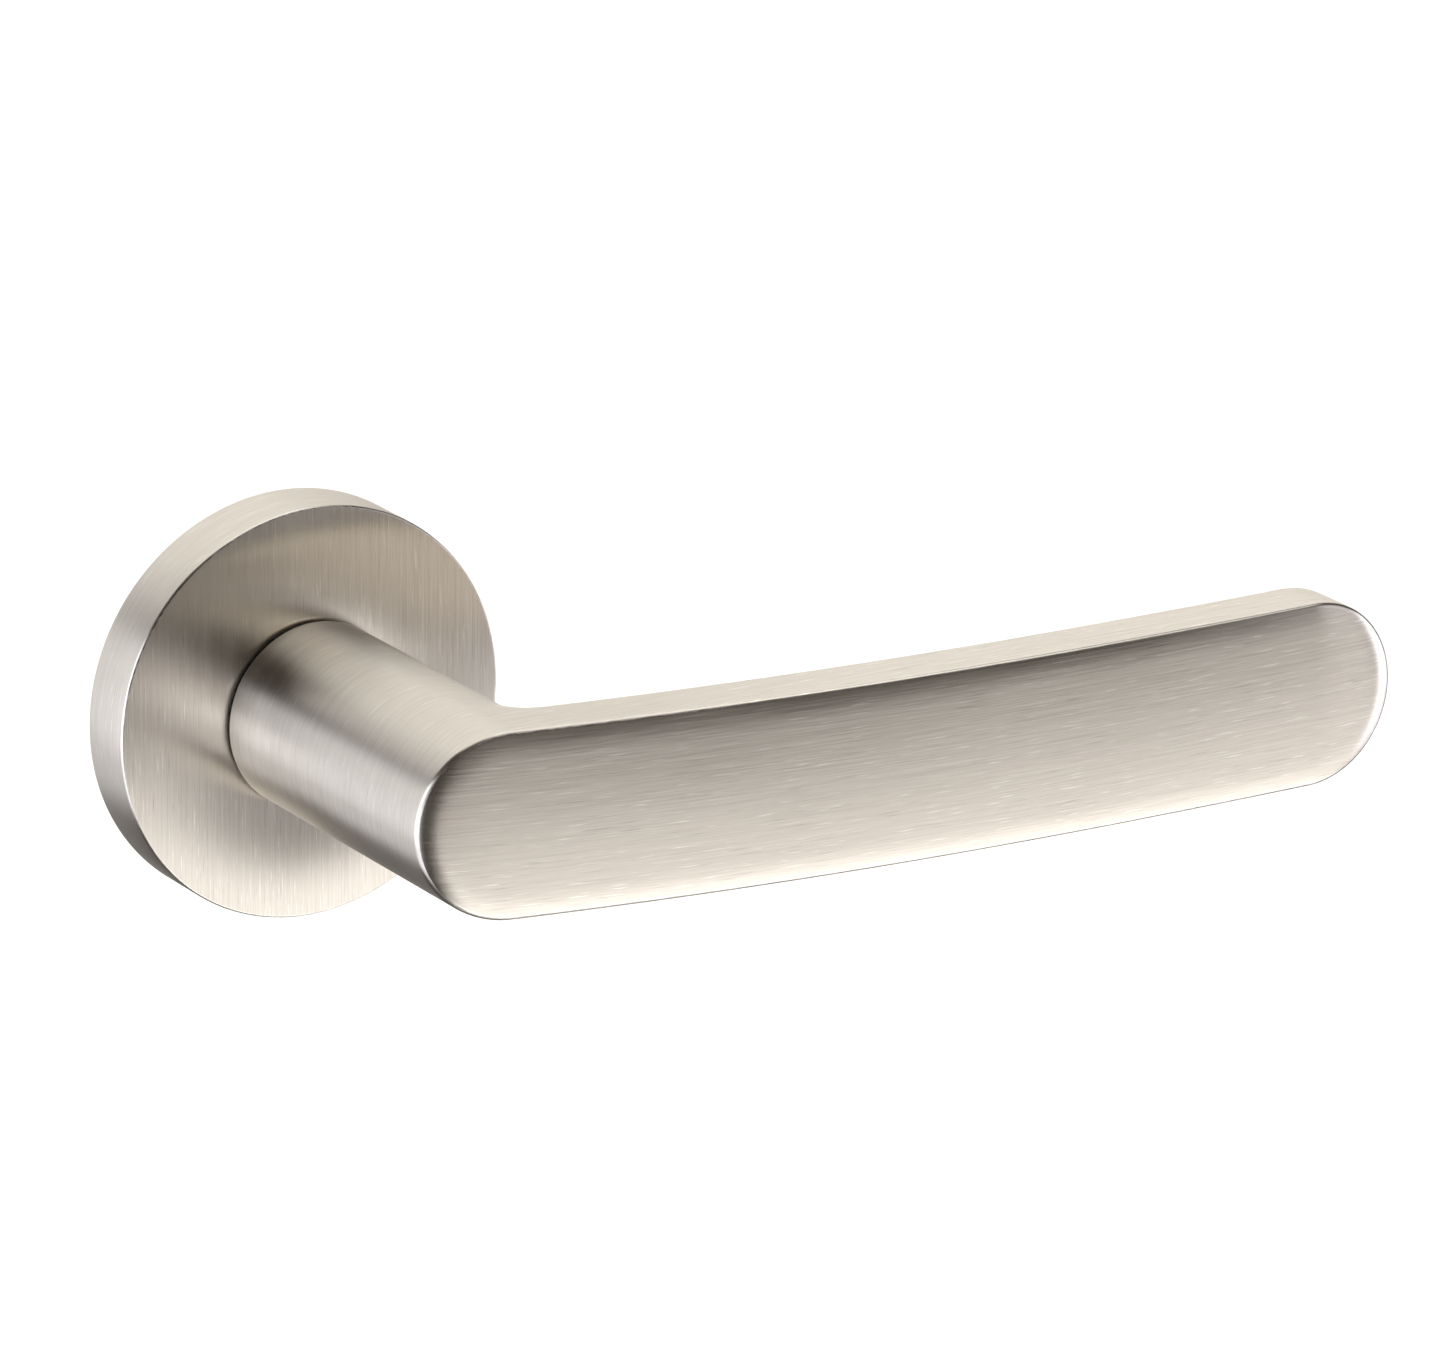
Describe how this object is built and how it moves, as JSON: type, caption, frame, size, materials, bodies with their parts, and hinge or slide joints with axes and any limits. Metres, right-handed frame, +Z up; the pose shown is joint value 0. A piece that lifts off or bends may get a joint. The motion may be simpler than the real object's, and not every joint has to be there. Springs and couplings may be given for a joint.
{
  "type": "door lever handle",
  "caption": "Satin nickel door lever on a round sprung rose, with a gently bowed flat grip, square spindle and bolt-through posts.",
  "frame": {"origin": "centre of the rose's back face, on the spindle axis", "axes": "+X along the grip, +Y into the door, +Z up"},
  "size_m": [0.1407, 0.0897, 0.05],
  "materials": {
    "satin_nickel": "satin nickel, fine brushed grain",
    "plain_steel": "zinc-plated bright steel",
    "zinc_casting": "dull die casting",
    "spring_steel": "drawn spring wire",
    "black_nylon": "matt moulded nylon"
  },
  "bodies": {
    "rose": {"rose_cover": "satin_nickel", "neck_bush": "black_nylon", "base_plate": "zinc_casting", "bearing_sleeve": "black_nylon", "cassette_cap": "plain_steel", "return_spring": "spring_steel", "bolt_post_upper": "plain_steel", "bolt_post_lower": "plain_steel", "rest_stop_pin": "plain_steel", "travel_stop_pin": "plain_steel", "spring_anchor_pin": "plain_steel", "cap_screw_1": "plain_steel", "cap_screw_2": "plain_steel", "cap_screw_3": "plain_steel", "cover_clip_1": "spring_steel", "cover_clip_2": "spring_steel", "cover_clip_3": "spring_steel"},
    "lever": {"lever_handle": "satin_nickel", "spindle": "plain_steel", "spindle_grub_screw": "plain_steel", "driver_plate": "plain_steel"}
  },
  "joints": [
    {"name": "lever_turn", "type": "hinge", "parent": "rose", "child": "lever", "pos_m": [0, 0, 0], "axis": [0, 1, 0], "range_deg": [0, 45], "stiffness_Nm_per_rad": 0.9, "springref_deg": -28.65, "deforming": ["return_spring"]}
  ]
}
